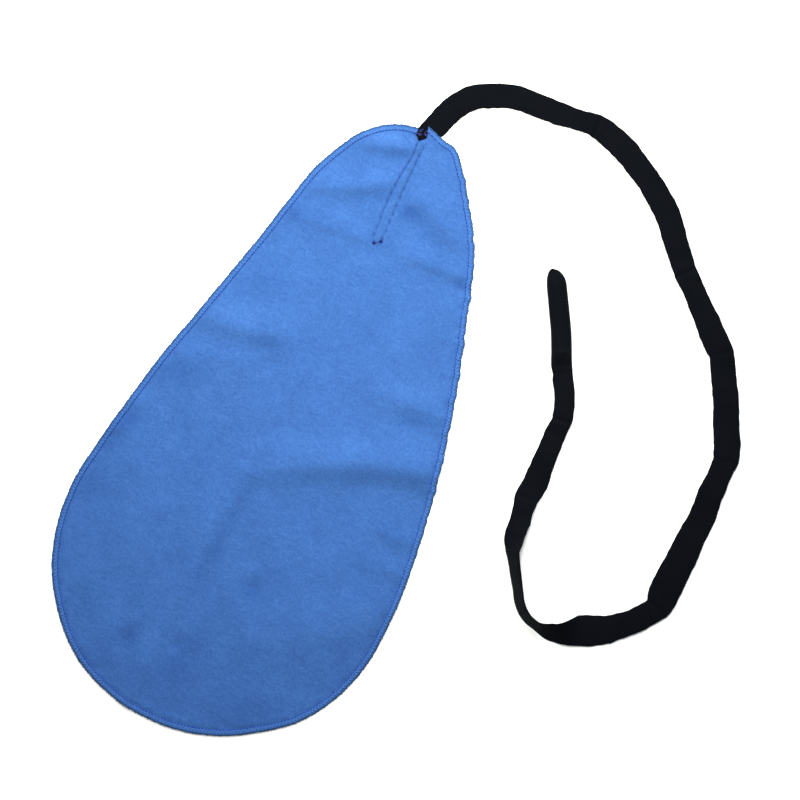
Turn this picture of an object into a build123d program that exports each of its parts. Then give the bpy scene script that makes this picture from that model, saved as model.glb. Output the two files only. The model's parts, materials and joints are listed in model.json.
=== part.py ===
from build123d import *

import os
from math import atan2, cos, degrees, radians, tan

# Pull-through cleaning swab for a woodwind instrument: a pear-shaped microfibre cloth with a
# weighted pull strap sewn into a pleat at its neck. Millimetres, +Z up. It lies flat on the XY
# plane, the origin is under the middle of the cloth, and +Y runs along the cloth to its neck.

# Cloth
CLOTH_LENGTH = 378.0
CLOTH_WIDTH = 200.0
CLOTH_THICKNESS = 0.6

# Each side of the outline is four tangent arcs, from the foot of the belly to the top of the neck:
# belly, long side, shoulder and neck corner. These are their turns in degrees, 180 in all.
RIGHT_TURNS = (92.0, 18.5, 21.0, 48.5)
LEFT_TURNS = (99.5, 5.5, 11.0, 64.0)
BELLY_RADIUS = CLOTH_WIDTH / 2
SHOULDER_RADIUS = CLOTH_WIDTH
RIGHT_NECK_RADIUS = 28.0
LEFT_NECK_RADIUS = 47.0

# Three-thread overlock round the edge. Its threads lie flat, half as thick as the cloth.
THREAD = CLOTH_THICKNESS / 2
OVERLOCK_WIDTH = 3.6
NEEDLE_LINE = OVERLOCK_WIDTH - THREAD
RIM_BOTTOM = THREAD
RIM_TOP = RIM_BOTTOM + CLOTH_THICKNESS
OVERLOCK_TOP = RIM_TOP + THREAD

# Strap: a flat tubular tape. The route lists the corners of its centreline on the XY plane, from
# the neck to the fold line above the weight. It lies loose on the surface that the cloth lies on.
STRAP_WIDTH = 15.0
STRAP_THICKNESS = 1.2
STRAP_ROUTE = [
    (1.2, 193.5),
    (3.0, 203.0),
    (13.0, 217.5),
    (30.5, 225.5),
    (50.0, 228.5),
    (69.0, 229.5),
    (87.0, 233.0),
    (104.0, 227.5),
    (127.0, 215.5),
    (147.0, 200.0),
    (158.0, 186.5),
    (172.0, 173.5),
    (188.0, 159.5),
    (204.0, 146.0),
    (215.0, 129.0),
    (226.0, 109.0),
    (234.5, 90.0),
    (236.5, 60.0),
    (236.0, 28.0),
    (235.0, -5.0),
    (223.0, -22.0),
    (203.0, -35.5),
    (184.0, -45.0),
    (167.0, -41.5),
    (156.5, -27.0),
    (146.0, -10.0),
    (140.5, 8.0),
    (141.0, 31.0),
    (139.5, 54.0),
    (138.5, 71.0),
    (134.0, 84.0),
    (128.6, 93.0),
]
FILLET_SHARE = 0.45

# Sewn-in end of the strap: folded narrow, held inside the pleat and spread out again at the mouth
TAIL_WIDTH = 4.4
TAIL_BOTTOM = RIM_TOP
TAIL_TOP = TAIL_BOTTOM + STRAP_THICKNESS
TAIL_FOOT_Y = 126.0
TAIL_SPREAD_Y = 179.0
TAIL_MOUTH = (1.0, 189.3)

# Pleat: the cloth folded over the tail, with a flap that covers the strap where it comes out
PLEAT_X = -2.6
PLEAT_WIDTH = 8.6
PLEAT_FOOT_Y = 113.0
PLEAT_HEAD_Y = 181.0
PLEAT_TOP = TAIL_TOP + CLOTH_THICKNESS
FLAP_CORNERS = [(-0.6, 176.0), (-2.8, 188.6), (9.0, 185.0), (11.0, 176.0)]

# Sewing: two rows along the pleat, a tack across their foot and a tack on the strap at the mouth
SEAM_GAP = 5.8
SEAM_FOOT_Y = 117.0
SEAM_HEAD_Y = 179.0
STITCH_PITCH = 5.2
TACK_PITCH = 1.6
FOOT_TACK_Y = 115.4
NECK_TACK_START = (-5.2, 182.0)
NECK_TACK_LENGTH = 3.2
NECK_TACK_GAP = 1.2

# Weighted end: a steel rod in the end of the tape, past a fold line where the tape hinges. Its
# places are distances from the fold line, along the tape.
SLUG_DIAMETER = 8.0
SLUG_LENGTH = 45.0
SLUG_ROUNDING = 2.5
SLUG_CLEARANCE = 0.1
SLUG_START = 11.2
FOLD_GAP = 1.0
POCKET_START = 1.6
RETAINING_SEAM_AT = 3.2
FLAT_END = 4.6
POUCH_START = 10.4
CAVITY_START = 10.8
CAVITY_END = SLUG_START + SLUG_LENGTH + SLUG_CLEARANCE
POUCH_WALL = STRAP_THICKNESS / 2
POUCH_END = CAVITY_END + POUCH_WALL
POCKET_FLAT_WIDTH = 12.0
POUCH_WIDTH = 11.0
POUCH_HEIGHT = SLUG_DIAMETER + 2 * (POUCH_WALL + SLUG_CLEARANCE)
TIP_STEPS = [(0.0, 1.0), (1.6, 0.86), (3.0, 0.6), (3.8, 0.3)]
TIP_END = POUCH_END + TIP_STEPS[-1][0]
TIP_SEAM_LENGTH = 2.4


def side_arcs(turns, neck_radius):
    """(radius, turn) of one side's arcs. The long side's radius makes up the cloth's length."""
    radii = [BELLY_RADIUS, 0.0, SHOULDER_RADIUS, neck_radius]
    headings = [0.0]
    for turn in turns:
        headings.append(headings[-1] + turn)
    rises = [cos(radians(a)) - cos(radians(b)) for a, b in zip(headings, headings[1:])]
    others = sum(radius * rise for radius, rise in zip(radii, rises))
    radii[1] = (CLOTH_LENGTH - others) / rises[1]
    return list(zip(radii, turns))


def cloth_outline(inset):
    """The cloth's outline as a face, moved in by inset all round."""
    edges = []
    tops = []
    for side, turns, neck in ((1, RIGHT_TURNS, RIGHT_NECK_RADIUS), (-1, LEFT_TURNS, LEFT_NECK_RADIUS)):
        point = Vector(0, inset - CLOTH_LENGTH / 2)
        heading = Vector(side, 0)
        for radius, turn in side_arcs(turns, neck):
            arc = JernArc(point, heading, radius - inset, side * turn)
            edges.append(arc)
            point = arc.end_of_arc
            heading = heading.rotate(Axis.Z, side * turn)
        tops.append(point)
    edges.append(Line(*tops))
    return make_face(edges)


def slab(face, bottom, top):
    """A flat face on the XY plane made into a solid between two heights."""
    return extrude(Pos(0, 0, bottom) * face, amount=top - bottom)


def edge_band(outer, inner, bottom, top):
    """A band that follows the cloth's edge, between two insets and two heights."""
    return slab(cloth_outline(outer) - cloth_outline(inner), bottom, top)


def tape_section(x, y, heading, width, bottom):
    """A cross-section of the tape, standing square to its heading, with its underside at bottom."""
    across = Vector(-heading.Y, heading.X)
    plane = Plane(origin=(x, y, bottom + STRAP_THICKNESS / 2), x_dir=across, z_dir=heading)
    return plane * Rectangle(width, STRAP_THICKNESS)


def strap_fillets():
    """The radius of each corner of the strap's route, as large as its two runs allow."""
    points = [Vector(*p) for p in STRAP_ROUTE]
    radii = []
    for before, corner, after in zip(points, points[1:], points[2:]):
        run_in = corner - before
        run_out = after - corner
        half_turn = radians(run_in.get_angle(run_out)) / 2
        radii.append(FILLET_SHARE * min(run_in.length, run_out.length) / tan(half_turn))
    return radii


def route_heading(start, end):
    """The direction of one run of the strap's route."""
    return (Vector(*STRAP_ROUTE[end]) - Vector(*STRAP_ROUTE[start])).normalized()


def make_pull_strap():
    radii = strap_fillets()
    height = STRAP_THICKNESS / 2
    path = FilletPolyline(*[(x, y, height) for x, y in STRAP_ROUTE], radius=radii)
    section = tape_section(*STRAP_ROUTE[0], route_heading(0, 1), STRAP_WIDTH, 0.0)
    strap = sweep(section, path=path)
    print("strap corner radii:", ", ".join(f"{radius:.0f}" for radius in radii))
    print(f"strap length {path.length:.1f}, section x length {section.area * path.length:.0f}")
    print(f"strap volume {strap.volume:.0f}")
    return strap


def make_strap_tail():
    """The end of the tape inside the cloth, down to the strap's first section."""
    up = Vector(0, 1)
    foot = tape_section(PLEAT_X, TAIL_FOOT_Y, up, TAIL_WIDTH, TAIL_BOTTOM)
    spread = tape_section(PLEAT_X, TAIL_SPREAD_Y, up, TAIL_WIDTH, TAIL_BOTTOM)
    mouth = tape_section(*TAIL_MOUTH, up, STRAP_WIDTH, TAIL_BOTTOM)
    strap_start = tape_section(*STRAP_ROUTE[0], route_heading(0, 1), STRAP_WIDTH, 0.0)
    stretches = [(foot, spread), (spread, mouth), (mouth, strap_start)]
    return Part() + [loft(list(ends), ruled=True) for ends in stretches]


def make_pleat(tail):
    """The folded cloth over the tail: a ridge, and a flap at the mouth."""
    middle_y = (PLEAT_FOOT_Y + PLEAT_HEAD_Y) / 2
    ridge = Pos(PLEAT_X, middle_y) * Rectangle(PLEAT_WIDTH, PLEAT_HEAD_Y - PLEAT_FOOT_Y)
    flap = make_face(Polyline(*FLAP_CORNERS, close=True))
    footprint = (ridge + flap) & cloth_outline(0)
    return slab(footprint, CLOTH_THICKNESS / 2, PLEAT_TOP) - tail


def make_cloth_panel(pleat):
    """The cloth: flat on the surface, lifted a thread's thickness inside the overlock."""
    middle = slab(cloth_outline(OVERLOCK_WIDTH), 0.0, CLOTH_THICKNESS)
    rim = edge_band(THREAD, OVERLOCK_WIDTH + CLOTH_THICKNESS, RIM_BOTTOM, RIM_TOP)
    return middle + rim + pleat - make_lower_looper()


def make_upper_looper(pleat, tail):
    """The looper thread that covers the upper face and wraps the raw edge."""
    face_cover = edge_band(THREAD, NEEDLE_LINE, RIM_TOP, OVERLOCK_TOP)
    edge_wrap = edge_band(0.0, THREAD, RIM_BOTTOM, OVERLOCK_TOP)
    return face_cover + edge_wrap - pleat - tail


def make_lower_looper():
    """The looper thread that covers the underside of the edge."""
    return edge_band(0.0, OVERLOCK_WIDTH, 0.0, THREAD)


def make_needle_thread(pleat, tail):
    """The needle thread, which lies in a line at the inner side of the overlock."""
    return edge_band(NEEDLE_LINE, OVERLOCK_WIDTH, RIM_TOP, OVERLOCK_TOP) - pleat - tail


def thread_comb(length, holes, line_bottom, leg_bottom, leg_top):
    """One thread of a seam: a line of stitches with a leg at each hole."""
    on_base = (Align.CENTER, Align.CENTER, Align.MIN)
    line = Pos(length / 2, 0, line_bottom) * Box(length + THREAD, THREAD, THREAD, align=on_base)
    leg = Box(THREAD, THREAD, leg_top - leg_bottom, align=on_base)
    return line + [Pos(x, 0, leg_bottom) * leg for x in holes]


def lockstitch(start, length, angle, bottom, top, pitch=TACK_PITCH):
    """A straight seam: a needle thread above and a bobbin thread below that meet half way."""
    count = round(length / pitch)
    holes = [length * i / count for i in range(count + 1)]
    middle = (bottom + top) / 2
    needle = thread_comb(length, holes, top, middle, top)
    bobbin = thread_comb(length, holes, bottom, bottom + THREAD, middle)
    return [Pos(*start) * Rot(0, 0, angle) * thread for thread in (needle, bobbin)]


def pleat_row(side):
    """One row of stitches along the pleat, on its left (-1) or right (1) side."""
    start = (PLEAT_X + side * SEAM_GAP / 2, SEAM_FOOT_Y)
    length = SEAM_HEAD_Y - SEAM_FOOT_Y
    return Compound(children=lockstitch(start, length, 90, 0.0, PLEAT_TOP, STITCH_PITCH))


def make_pleat_foot_tack():
    start = (PLEAT_X - SEAM_GAP / 2, FOOT_TACK_Y)
    return Compound(children=lockstitch(start, SEAM_GAP, 0, 0.0, PLEAT_TOP))


def make_neck_tack():
    """Two short rows that hold the strap to the cloth where it leaves the pleat."""
    x, y = NECK_TACK_START
    rows = [(x, y), (x, y + NECK_TACK_GAP)]
    threads = [lockstitch(start, NECK_TACK_LENGTH, 0, RIM_BOTTOM, TAIL_TOP) for start in rows]
    return Compound(children=threads[0] + threads[1])


def pouch_section(at, share=1.0, wall=0.0):
    """The pouch's oval section at a distance from the fold line, square to the tape."""
    plane = Plane(origin=(at, 0, POUCH_HEIGHT / 2), x_dir=(0, 1, 0), z_dir=(1, 0, 0))
    return plane * Ellipse(share * POUCH_WIDTH / 2 - wall, share * POUCH_HEIGHT / 2 - wall)


def in_place(part):
    """Moves a part of the weighted end from the fold line's own frame to where the tape ends."""
    heading = route_heading(-2, -1)
    fold = Vector(*STRAP_ROUTE[-1]) + heading * FOLD_GAP
    return Pos(fold.X, fold.Y) * Rot(0, 0, degrees(atan2(heading.Y, heading.X))) * part


def make_weight_pocket(seam):
    """The end of the tape: flat past the fold line, then a closed pouch round the slug."""
    flat_middle = (POCKET_START + FLAT_END) / 2
    flat = Pos(flat_middle, 0, STRAP_THICKNESS / 2) * Box(
        FLAT_END - POCKET_START, POCKET_FLAT_WIDTH, STRAP_THICKNESS
    )
    flat_section = tape_section(FLAT_END, 0, Vector(1, 0), POCKET_FLAT_WIDTH, 0.0)
    shoulder = loft([flat_section, pouch_section(POUCH_START)])
    pouch = extrude(pouch_section(POUCH_START), amount=POUCH_END - POUCH_START)
    steps = [pouch_section(POUCH_END + past, share) for past, share in TIP_STEPS]
    tip = [loft([near, far]) for near, far in zip(steps, steps[1:])]
    cavity = extrude(pouch_section(CAVITY_START, wall=POUCH_WALL), amount=CAVITY_END - CAVITY_START)
    return flat + shoulder + pouch + tip - cavity - seam


def make_slug():
    """The steel rod, with rounded ends."""
    middle = SLUG_START + SLUG_LENGTH / 2
    rod = Pos(middle, 0, POUCH_HEIGHT / 2) * Rot(0, 90, 0) * Cylinder(SLUG_DIAMETER / 2, SLUG_LENGTH)
    return fillet(rod.edges().filter_by(GeomType.CIRCLE), SLUG_ROUNDING)


def make_retaining_seam():
    """The seam across the flat tape that keeps the slug from sliding back up the strap."""
    length = POCKET_FLAT_WIDTH - STRAP_THICKNESS
    start = (RETAINING_SEAM_AT, -length / 2)
    return Compound(children=lockstitch(start, length, 90, 0.0, STRAP_THICKNESS))


def make_tip_seam():
    """The bar of thread that closes the end of the tape."""
    return Pos(TIP_END, 0, POUCH_HEIGHT / 2) * Box(2 * THREAD, TIP_SEAM_LENGTH, 2 * THREAD)


def make_parts():
    """Every node by name."""
    tail = make_strap_tail()
    pleat = make_pleat(tail)
    tip_seam = make_tip_seam()
    return {
        "cloth_panel": make_cloth_panel(pleat),
        "overlock_upper_looper_thread": make_upper_looper(pleat, tail),
        "overlock_lower_looper_thread": make_lower_looper(),
        "overlock_needle_thread": make_needle_thread(pleat, tail),
        "pleat_seam_left": pleat_row(-1),
        "pleat_seam_right": pleat_row(1),
        "pleat_foot_tack": make_pleat_foot_tack(),
        "neck_tack": make_neck_tack(),
        "strap_tail": tail,
        "pull_strap": make_pull_strap(),
        "weight_pocket": in_place(make_weight_pocket(tip_seam)),
        "weight_slug": in_place(make_slug()),
        "weight_retaining_seam": in_place(make_retaining_seam()),
        "tip_closing_seam": in_place(tip_seam),
    }


os.makedirs("parts", exist_ok=True)
for name, part in make_parts().items():
    export_step(part, f"parts/{name}.step")
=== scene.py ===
"""Looks of the pull-through swab: cloth, threads, tape and weighted end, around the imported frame.

Metres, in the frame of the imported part. Lengths are written as a number of millimetres times MM.
"""

import json
import math

import bpy
import numpy as np
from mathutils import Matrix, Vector


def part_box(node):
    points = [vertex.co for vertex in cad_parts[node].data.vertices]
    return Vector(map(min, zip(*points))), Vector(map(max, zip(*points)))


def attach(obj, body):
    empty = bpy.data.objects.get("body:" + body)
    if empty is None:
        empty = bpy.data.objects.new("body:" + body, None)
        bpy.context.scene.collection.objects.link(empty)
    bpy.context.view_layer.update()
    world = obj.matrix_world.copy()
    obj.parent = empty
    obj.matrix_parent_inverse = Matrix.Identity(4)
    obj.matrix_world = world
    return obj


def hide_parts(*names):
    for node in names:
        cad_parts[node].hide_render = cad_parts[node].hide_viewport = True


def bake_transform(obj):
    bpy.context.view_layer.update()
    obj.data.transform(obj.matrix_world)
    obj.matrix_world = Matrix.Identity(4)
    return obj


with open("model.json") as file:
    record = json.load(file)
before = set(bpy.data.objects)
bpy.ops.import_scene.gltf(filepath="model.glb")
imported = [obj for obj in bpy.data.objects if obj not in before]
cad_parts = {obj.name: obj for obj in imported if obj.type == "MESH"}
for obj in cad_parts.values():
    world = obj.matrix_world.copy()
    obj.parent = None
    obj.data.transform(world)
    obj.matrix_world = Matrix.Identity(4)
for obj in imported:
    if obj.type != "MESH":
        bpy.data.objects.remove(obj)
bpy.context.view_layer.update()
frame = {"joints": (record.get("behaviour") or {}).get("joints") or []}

MM = 0.001

# ---- sizes, all in metres

CLOTH_LENGTH = 378 * MM
CLOTH_WIDTH = 200 * MM
CLOTH_THICKNESS = 0.6 * MM

# Turns of the four tangent arcs of each side of the outline, from the foot to the top, in degrees.
RIGHT_TURNS = (92.0, 18.5, 21.0, 48.5)
LEFT_TURNS = (99.5, 5.5, 11.0, 64.0)
BELLY_RADIUS = CLOTH_WIDTH / 2
SHOULDER_RADIUS = CLOTH_WIDTH
RIGHT_NECK_RADIUS = 28 * MM
LEFT_NECK_RADIUS = 47 * MM

THREAD_RADIUS = 0.18 * MM
PLY_LENGTH = 0.9 * MM
NEEDLE_INSET = 3.0 * MM
OVERLOCK_PITCH = 2.1 * MM
RIM_LIFT = 0.3 * MM

SEAM_PITCH = 5.2 * MM

TAIL_FOOT_Y = 126 * MM
TAPE_WIDTH = 15 * MM
TAPE_THICKNESS = 1.2 * MM
RIB_WIDTH = 1.2 * MM
PICK_LENGTH = 0.75 * MM

# The strap's route, as in the CAD source: corners on the surface from the neck to the fold line.
# It stands on its edge round its tightest bend, so its middle is higher there.
STRAP_ROUTE = [
    (1.2, 193.5, 0.6), (3, 203, 0.6), (13, 217.5, 0.6), (30.5, 225.5, 0.6), (50, 228.5, 0.6),
    (69, 229.5, 0.6), (87, 233, 0.6), (104, 227.5, 0.6), (127, 215.5, 0.6), (147, 200, 0.6),
    (158, 186.5, 0.6), (172, 173.5, 0.6), (188, 159.5, 0.6), (204, 146, 0.6), (215, 129, 0.6),
    (226, 109, 0.6), (234.5, 90, 0.6), (236.5, 60, 0.6), (236, 28, 0.6), (235, -5, 0.6),
    (223, -22, 0.6), (203, -35.5, 1.5), (184, -45, 4.5), (167, -41.5, 6.5), (156.5, -27, 6.5),
    (146, -10, 4.5), (140.5, 8, 1.5), (141, 31, 0.6), (139.5, 54, 0.6), (138.5, 71, 0.6),
    (134, 84, 0.6), (128.6, 93, 0.6),
]
# At the slit the strap lies on the left lip, and it narrows as it goes into the pleat.
TAIL_ROUTE = [(-1.3, 174, 1.7), (-2, 179.5, 1.9), (-2.5, 185.5, 1.9)]
# How far the tail's middle lies to the right of the pleat's left row of stitches.
TAIL_FROM_ROW = 2.7
# Where the strap crosses the cloth's edge.
NECK = (1.0, 189.0, 1.2)

UP = np.array([0.0, 0.0, 1.0])
WHITE = (1.0, 1.0, 1.0)


# ---- small helpers


def smooth(t):
    """0 below 0, 1 above 1, and an easy curve between."""
    t = np.clip(t, 0.0, 1.0)
    return t * t * (3 - 2 * t)


def climb(at, start, length):
    """0 up to a start, 1 from a length past it, and an easy curve between."""
    return smooth((at - start) / length)


def bell(t):
    """1 at 0, falling away on both sides."""
    return np.exp(-t * t)


def read(at, pairs):
    """The value at a place, read off straight lines between pairs of a place and a value."""
    places, values = np.array(pairs, float).T
    return np.interp(at, places, values)


def pulse(t, length=1.0):
    """A wave between 0 and 1, with a crest at 0 and at each whole length."""
    return 0.5 + 0.5 * np.cos(math.tau * t / length)


def ripple(t, wavelengths, seed):
    """An uneven wave of about -1 to 1: the mean of sines with the given wavelengths."""
    phases = np.random.default_rng(seed).uniform(0, math.tau, len(wavelengths))
    waves = [np.sin(math.tau * t / w + p) for w, p in zip(wavelengths, phases)]
    return sum(waves) / math.sqrt(len(wavelengths))


def add_object(name, data):
    """A new object in the scene."""
    made = bpy.data.objects.new(name, data)
    bpy.context.scene.collection.objects.link(made)
    return made


def add_mesh(name, points, faces, **attributes):
    """A smooth-shaded object from arrays of points and faces, with float attributes on its points."""
    mesh = bpy.data.meshes.new(name)
    mesh.from_pydata(np.asarray(points).tolist(), [], [list(map(int, f)) for f in faces])
    mesh.update()
    mesh.polygons.foreach_set("use_smooth", [True] * len(mesh.polygons))
    for key, values in attributes.items():
        layer = mesh.attributes.new(key, "FLOAT", "POINT")
        layer.data.foreach_set("value", np.asarray(values, np.float32))
    return add_object(name, mesh)


def along_path(path):
    """Distance along a path of points."""
    return np.concatenate([[0], np.cumsum(np.linalg.norm(np.diff(path, axis=0), axis=1))])


def unit(vectors):
    """Vectors brought to a length of 1."""
    return vectors / np.linalg.norm(vectors, axis=-1, keepdims=True)


def left_of(headings):
    """The level direction to the left of a heading, or of each of several."""
    headings = np.asarray(headings, float)
    return unit(np.stack([-headings[..., 1], headings[..., 0], 0 * headings[..., 0]], axis=-1))


def carried_frames(path):
    """Two normals carried along a path without twist."""
    tangent = unit(np.gradient(path, axis=0))
    side = np.cross(tangent[0], UP)
    if np.linalg.norm(side) < 0.1:
        side = np.cross(tangent[0], (1.0, 0.0, 0.0))
    sides = np.empty_like(path)
    for i, t in enumerate(tangent):
        side = unit(side - (side @ t) * t)
        sides[i] = side
    return sides, np.cross(sides, tangent)


def tube_faces(rows, corners, start=0, turned=False):
    """The faces of a tube through rings of points, its two caps last.

    turned is for rings that run clockwise, seen along the tube.
    """
    ring, corner = np.meshgrid(np.arange(rows - 1), np.arange(corners), indexing="ij")
    a = start + ring * corners + corner
    b = start + ring * corners + (corner + 1) % corners
    quads = np.stack([a, b, b + corners, a + corners], axis=-1).reshape(-1, 4)
    first = start + np.arange(corners)
    last = first + (rows - 1) * corners
    if turned:
        return [*quads[:, [0, 3, 2, 1]], first, last[::-1]]
    return [*quads, first[::-1], last]


def add_threads(name, paths, radius, corners=6, shades=None):
    """Round threads along paths, capped at both ends. shades, from 0 to 1, darken them."""
    points, faces, along, around = [], [], [], []
    shades = shades or [np.zeros(len(path)) for path in paths]
    start = 0
    turn = np.arange(corners) * math.tau / corners
    for path in paths:
        path = np.asarray(path, float)
        sides, ups = carried_frames(path)
        ring = np.cos(turn)[:, None] * sides[:, None] + np.sin(turn)[:, None] * ups[:, None]
        points.append((path[:, None] + radius * ring).reshape(-1, 3))
        along.append(np.repeat(along_path(path), corners))
        around.append(np.tile(turn / (math.tau), len(path)))
        faces += tube_faces(len(path), corners, start)
        start += len(path) * corners
    along, around = np.concatenate(along), np.concatenate(around)
    shade = np.repeat(np.concatenate(shades), corners)
    return add_mesh(name, np.concatenate(points), faces, along=along, around=around, shade=shade)


def dress(piece, material, node, body="root"):
    """Gives a piece its material, hangs it on its body if it has one, and hides the CAD node that it stands
    for.
    """
    piece.data.materials.append(material)
    if body:
        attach(piece, body)
    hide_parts(node)
    return piece


# ---- camera, floor and light

PHOTO_TILT = math.radians(25.5)
LENS_MM = 100.0
SENSOR_MM = 36.0
FRAME_WIDTH = 462 * MM
VIEW_CENTRE = (50 * MM, 40 * MM)
IMAGE_UP = np.array([-math.sin(PHOTO_TILT), math.cos(PHOTO_TILT), 0.0])
IMAGE_RIGHT = np.array([math.cos(PHOTO_TILT), math.sin(PHOTO_TILT), 0.0])


def make_camera():
    """Straight above the object, turned so that the cloth leans to the right."""
    data = bpy.data.cameras.new("camera")
    data.lens = LENS_MM
    data.sensor_width = SENSOR_MM
    data.clip_start = 0.01
    data.clip_end = 20.0
    camera = add_object("camera", data)
    camera.location = (*VIEW_CENTRE, FRAME_WIDTH * LENS_MM / SENSOR_MM)
    camera.rotation_euler = (0.0, 0.0, PHOTO_TILT)
    bpy.context.scene.camera = camera


def add_light(name, kind, place, target, energy, **settings):
    """A light at a place, aimed at a target."""
    data = bpy.data.lights.new(name, kind)
    data.energy = energy
    for key, value in settings.items():
        setattr(data, key, value)
    light = add_object(name, data)
    light.location = place
    light.rotation_euler = (Vector(target) - Vector(place)).to_track_quat("-Z", "Y").to_euler()
    light.visible_camera = False


def make_stage():
    """A plain pale floor, a lamp over the neck, low soft sunlight from beyond it, and even fill."""
    reach = 6.0
    corners = [(-reach, -reach, 0), (reach, -reach, 0), (reach, reach, 0), (-reach, reach, 0)]
    floor = add_mesh("floor", corners, [(0, 1, 2, 3)])
    floor.location.z = -0.05 * MM
    material, shader = new_material("floor_paper")
    set_inputs(shader, {"Base Color": (0.89, 0.905, 0.97), "Roughness": 0.9, "Specular IOR Level": 0.1})
    floor.data.materials.append(material)

    world = bpy.data.worlds.new("studio")
    bpy.context.scene.world = world
    world.use_nodes = True
    set_inputs(world.node_tree.nodes["Background"], {"Color": (0.97, 1.0, 1.05), "Strength": 0.34})

    centre = np.array([*VIEW_CENTRE, 0.0])
    near_neck = centre + 0.17 * IMAGE_UP
    above = near_neck + 0.38 * UP
    warm = (1.0, 0.99, 0.81)
    add_light("overhead", "AREA", above, near_neck, 4.35, shape="DISK", size=0.4, color=warm)
    beyond = centre + IMAGE_UP + 0.15 * IMAGE_RIGHT + 0.5 * UP
    add_light("window", "SUN", beyond, centre, 3.1, angle=math.radians(22))
    bpy.context.scene.view_settings.view_transform = "Standard"


# ---- materials


def new_material(name):
    material = bpy.data.materials.new(name)
    material.use_nodes = True
    return material, material.node_tree.nodes["Principled BSDF"]


def set_inputs(node, values):
    """Sets a node's inputs, or links those whose value is another node's output."""
    for name, value in values.items():
        socket = node.inputs[name]
        if isinstance(value, bpy.types.NodeSocket):
            node.id_data.links.new(value, socket)
        elif socket.type == "RGBA":
            socket.default_value = (*value, 1)
        else:
            socket.default_value = value


class Nodes:
    """A new material, and short ways to add shader nodes to it."""

    def __init__(self, name):
        self.material, self.shader = new_material(name)
        self.object_coords = self.add("ShaderNodeTexCoord", "Object", {})

    def finished(self, colour, normal, settings):
        """The material, with its shader's inputs set."""
        set_inputs(self.shader, {"Base Color": colour, "Normal": normal, **settings})
        return self.material

    def add(self, kind, output, inputs, **settings):
        """One output of a new node with these settings and inputs."""
        node = self.material.node_tree.nodes.new(kind)
        for key, value in settings.items():
            setattr(node, key, value)
        set_inputs(node, inputs)
        return node.outputs[output]

    def noise(self, scale, detail=3.0, roughness=0.55, vector=None):
        inputs = {"Scale": scale, "Detail": detail, "Roughness": roughness}
        return self.add("ShaderNodeTexNoise", "Fac", inputs | {"Vector": vector or self.object_coords})

    def stretched(self, scale, turn=0.0):
        inputs = {"Vector": self.object_coords, "Scale": scale, "Rotation": (0.0, 0.0, turn)}
        return self.add("ShaderNodeMapping", "Vector", inputs)

    def attribute(self, name):
        return self.add("ShaderNodeAttribute", "Fac", {}, attribute_name=name)

    def math(self, operation, a, b):
        return self.add("ShaderNodeMath", "Value", {0: a, 1: b}, operation=operation)

    def ramp(self, value, low, high, low_colour, high_colour):
        node = self.material.node_tree.nodes.new("ShaderNodeValToRGB")
        ends = zip(node.color_ramp.elements, (low, high), (low_colour, high_colour))
        for element, position, colour in ends:
            element.position = position
            element.color = (*colour, 1)
        set_inputs(node, {"Fac": value})
        return node.outputs["Color"]

    def mix(self, kind, amount, a, b):
        inputs = {"Factor": amount, "A": a, "B": b}
        return self.add("ShaderNodeMix", "Result", inputs, data_type="RGBA", blend_type=kind)

    def tinted(self, colour, value, low_tint, high_tint=WHITE, low=0.3, high=0.7):
        """A colour multiplied by a ramp over a value."""
        return self.mix("MULTIPLY", 1.0, colour, self.ramp(value, low, high, low_tint, high_tint))

    def bump(self, height, strength, distance, normal=None):
        inputs = {"Height": height, "Strength": strength, "Distance": distance}
        if normal:
            inputs["Normal"] = normal
        return self.add("ShaderNodeBump", "Normal", inputs)


def suede_material():
    """Brushed microfibre: soft patches, a fine felted grain, painted shade at the seams, and pile patches
    with painted fold shade.
    """
    n = Nodes("microfibre_suede")
    patches = n.noise(45, 4, 0.6)
    strokes = n.noise(1.0, 4, 0.6, n.stretched((190, 420, 190), 0.5))
    pile = n.noise(620, 3, 0.65)
    grain = n.noise(1700, 2, 0.7)
    colour = n.ramp(patches, 0.3, 0.72, (0.0378, 0.111, 0.346), (0.0458, 0.131, 0.396))
    colour = n.tinted(colour, strokes, (0.82, 0.84, 0.88))
    colour = n.tinted(colour, pile, (0.72, 0.75, 0.80))
    colour = n.tinted(colour, grain, (0.74, 0.77, 0.82))
    # Painted shade in the seams' grooves, at the knots and along the cut edge.
    colour = n.tinted(colour, n.attribute("crease"), WHITE, (0.48, 0.54, 0.64), 0.0, 1.0)
    # Pile patches, with painted light and shade of small folds.
    colour = n.tinted(colour, n.attribute("nap"), (0.62, 0.69, 0.78), (1.32, 1.26, 1.17), 0.0, 1.0)
    normal = n.bump(strokes, 0.3, 0.12 * MM)
    normal = n.bump(pile, 0.45, 0.14 * MM, normal)
    normal = n.bump(grain, 0.5, 0.07 * MM, normal)
    sheen = {"Sheen Weight": 0.05, "Sheen Roughness": 0.6, "Sheen Tint": (0.45, 0.65, 1.0)}
    return n.finished(colour, normal, sheen | {"Roughness": 0.95, "Specular IOR Level": 0.08})


def thread_material(name, dark, light):
    """Twisted polyester thread: plies that wind round it, uneven dye, and darker where shaded."""
    n = Nodes(name)
    wound = n.math("ADD", n.math("DIVIDE", n.attribute("along"), PLY_LENGTH), n.attribute("around"))
    plies = n.math("MULTIPLY", n.math("PINGPONG", wound, 0.5), 2.0)
    colour = n.mix("MIX", n.noise(700, 2), dark, light)
    colour = n.tinted(colour, plies, (0.70, 0.72, 0.76), low=0.0)
    colour = n.tinted(colour, n.attribute("shade"), WHITE, (0.15, 0.30, 0.26), 0.0, 1.0)
    normal = n.bump(plies, 0.6, 0.08 * MM)
    return n.finished(colour, normal, {"Roughness": 0.8, "Specular IOR Level": 0.1})


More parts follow.
